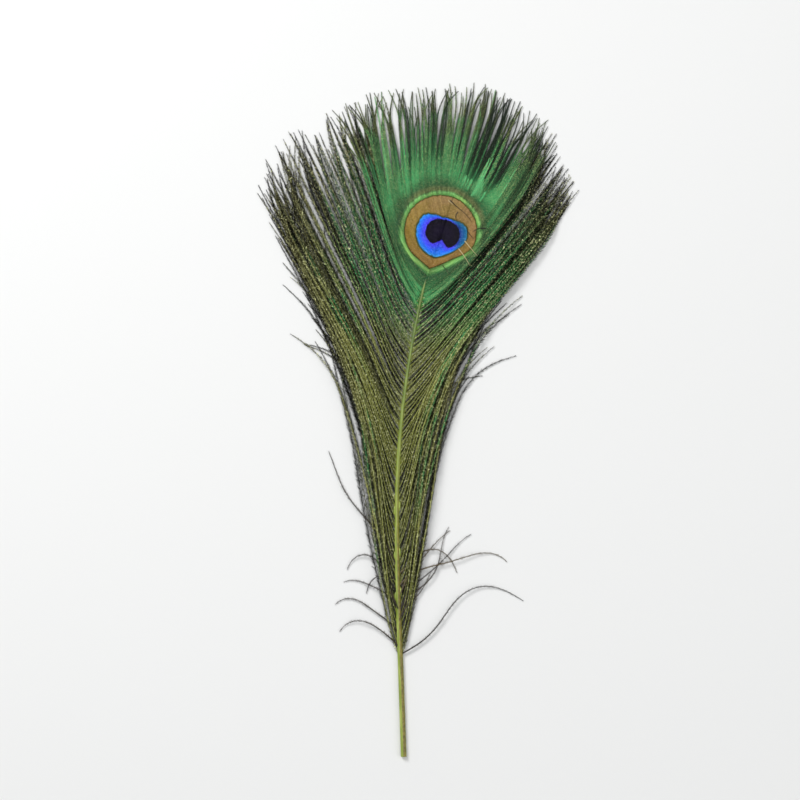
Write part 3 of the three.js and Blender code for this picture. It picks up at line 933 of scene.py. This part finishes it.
# The dark heart
dark = ramp(tree, ranged(tree, heart, -5.0, 0.0, manner="LINEAR"), [(0.0, "160e26"), (1.0, "0a0710")])
dark = blended(tree, ranged(tree, grain, 0.5, 0.75, 0.0, 0.5), dark, tint("241c30"))
colour = blended(tree, ranged(tree, heart, 0.12, -0.12), colour, dark)
tree.links.new(colour, shader.inputs["Base Color"])
shader.inputs["Metallic"].default_value = 0.3
shader.inputs["Specular IOR Level"].default_value = 0.15
tree.links.new(ranged(tree, grain, 0.2, 0.8, 0.32, 0.5), shader.inputs["Roughness"])
add_bump(tree, shader, grain, strength=0.25, distance=0.04 * MM)

for side_name, (side, table) in SIDES.items():
    draws = np.random.default_rng(EYE_SEEDS[side_name])
    stations = np.arange(EYE_FROM, EYE_TO, EYE_SPACING)
    barbs = grown_barbs(side, table, stations, np.zeros(len(stations)), EYE_PLAY, draws)
    for barb in barbs:
        barb["line"][:, 2] = vane_height(barb["line"])
        if side > 0:
            barb["brightness_and_painted_light"] = barb["brightness_and_painted_light"] - dimming(barb["line"])
    barbs += torn_barbs(draws) if side > 0 else [shaft_ridge()]
    piece, places = barbs_piece(f"eye_vane_{side_name}", barbs, EYE_LOOK, draws)
    for name, values in eye_marks(places).items():
        add_values(piece.data, name, values)
    piece.data.materials.append(iridescent)
    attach(piece, "root")
    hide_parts("feather")

# Stray barbs
# A few thin hairs and broken ends lie over the right of the eye, some dark and some pale, and thin
# barbs without a vane curl away from the lowest part of the shaft.

# Each hair: how bright it is, then its points in mm
HAIRS = [
    (0.0, [(20.0, 213.4), (23.0, 210.4), (26.7, 207.4), (29.7, 203.6)]),
    (0.0, [(23.7, 208.2), (22.5, 206.3), (23.0, 204.4)]),
    (0.0, [(35.7, 201.2), (32.0, 201.0), (29.5, 199.3)]),
    (0.0, [(27.3, 200.3), (28.6, 198.4), (30.5, 196.3)]),
    (1.0, [(26.3, 195.8), (28.6, 193.0), (32.0, 189.0)]),
    (1.0, [(23.7, 192.4), (25.6, 190.1), (28.9, 184.9)]),
    (0.1, [(17.0, 185.3), (18.5, 183.4), (20.7, 180.8)]),
    (1.0, [(19.6, 213.0), (21.4, 211.2)]),
]
HAIR_LIFT = 0.25
HAIR_ROUNDING = 13
HAIR_LOOK = {
    "spine": 0.24, "foot": 0.0, "spine_steps": 24, "from": 0.0, "pitch": 0.4, "width": 0.14,
    "reach": 0.4, "reach_at": [0, 1], "reach_by": [1, 0.6],
    "opening": 35, "opening_spread": 12, "fall": 5, "fall_spread": 15, "twist": 30,
}
CURLS = 14
CURLS_FROM = 42
CURLS_TO = 78
CURL_LENGTHS = (20, 64)
CURL_ROOT_LEANS = (12, 45)
CURL_TURNS = (-30, 150)
CURL_TURNS_LATE = 1.6
CURL_WAVES = (6, 22)
CURL_WAVE_SHIFTS = (0, 6)
CURL_WAVE_COUNT = 7
CURL_RISE = 1.2
CURL_RISE_PLAY = (0.2, 1)
CURL_BRIGHTNESS = (0, 0.4)
CURL_LOOK = {
    "spine": 0.4, "foot": 0.0, "spine_steps": 44, "from": 0.8, "pitch": 0.3, "width": 0.22,
    "reach": 1.0, "reach_at": [0, 0.1, 0.7, 1], "reach_by": [0.4, 1, 0.9, 0.4],
    "opening": 38, "opening_spread": 16, "fall": 8, "fall_spread": 25, "twist": 40,
}
STRAY_POINTS = 60
STRAY_TONE = 0.4
STRAY_SEED = 31


def stray(line, brightness_and_painted_light):
    """A barb along a line, as bright all the way."""
    steps = np.diff(line[:, :2], axis=0)
    along = np.concatenate([[0], np.cumsum(np.hypot(steps[:, 0], steps[:, 1]))])
    lean = np.arctan2(steps[:, 0], steps[:, 1])
    lean = np.append(lean, lean[-1])
    return {
        "line": line, "along": along, "lean": lean,
        "brightness_and_painted_light": np.full(len(line), brightness_and_painted_light), "parted": np.ones(len(line)), "tone": STRAY_TONE,
    }


hair_finish, tree, shader = new_material("stray_hairs")
grain = noise(tree, node(tree, "ShaderNodeTexCoord").outputs["Object"], scale=1500)
shade = maths(tree, "ADD", attribute(tree, "brightness_and_painted_light"), maths(tree, "MULTIPLY", grain, 0.3))
colour = ramp(tree, shade, [(0.1, "120e0a"), (0.45, "33281a"), (0.8, "8a7a50"), (1.0, "c8b888")])
tree.links.new(colour, shader.inputs["Base Color"])
tree.links.new(ranged(tree, grain, 0.2, 0.8, 0.4, 0.6), shader.inputs["Roughness"])
add_bump(tree, shader, grain, strength=0.3, distance=0.04 * MM)

draws = np.random.default_rng(STRAY_SEED)
hair_barbs = []
for brightness_and_painted_light, points in HAIRS:
    shares = np.linspace(0, len(points) - 1, STRAY_POINTS)
    line = np.stack([np.interp(shares, range(len(points)), axis) for axis in zip(*points)], axis=-1)
    padded = np.pad(line, ((HAIR_ROUNDING // 2,) * 2, (0, 0)), mode="edge")
    rounding = np.ones(HAIR_ROUNDING) / HAIR_ROUNDING
    line = np.stack([np.convolve(axis, rounding, mode="valid") for axis in padded.T], axis=-1)
    hair_barbs.append(stray(np.column_stack([line, vane_height(line) + HAIR_LIFT]), brightness_and_painted_light))
hairs, _ = barbs_piece("stray_hairs", hair_barbs, HAIR_LOOK, draws)

curl_barbs = []
for number in range(CURLS):
    side = -1 if number % 2 else 1
    start = shaft_points(CURLS_FROM + (CURLS_TO - CURLS_FROM) * number / (CURLS - 1))[0]
    length = draws.uniform(*CURL_LENGTHS)
    share = np.linspace(0, 1, STRAY_POINTS)
    lean = draws.uniform(*CURL_ROOT_LEANS) + draws.uniform(*CURL_TURNS) * share ** CURL_TURNS_LATE
    wave = draws.uniform(*CURL_WAVES) * np.sin(share * CURL_WAVE_COUNT + draws.uniform(*CURL_WAVE_SHIFTS))
    lean = np.radians(side * (lean + wave))
    x = start[0] + np.cumsum(np.sin(lean)) * length / STRAY_POINTS
    y = start[1] + np.cumsum(np.cos(lean)) * length / STRAY_POINTS
    z = start[2] + CURL_RISE * np.sin(share * math.pi) * draws.uniform(*CURL_RISE_PLAY)
    z = z * (1 - smooth(share * 2 - 1)) + TIP_HEIGHT
    curl_barbs.append(stray(np.column_stack([x, y, z]), draws.uniform(*CURL_BRIGHTNESS)))
curls, _ = barbs_piece("base_curls", curl_barbs, CURL_LOOK, draws)
for piece in (hairs, curls):
    piece.data.materials.append(hair_finish)
    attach(piece, "root")
    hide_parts("feather")
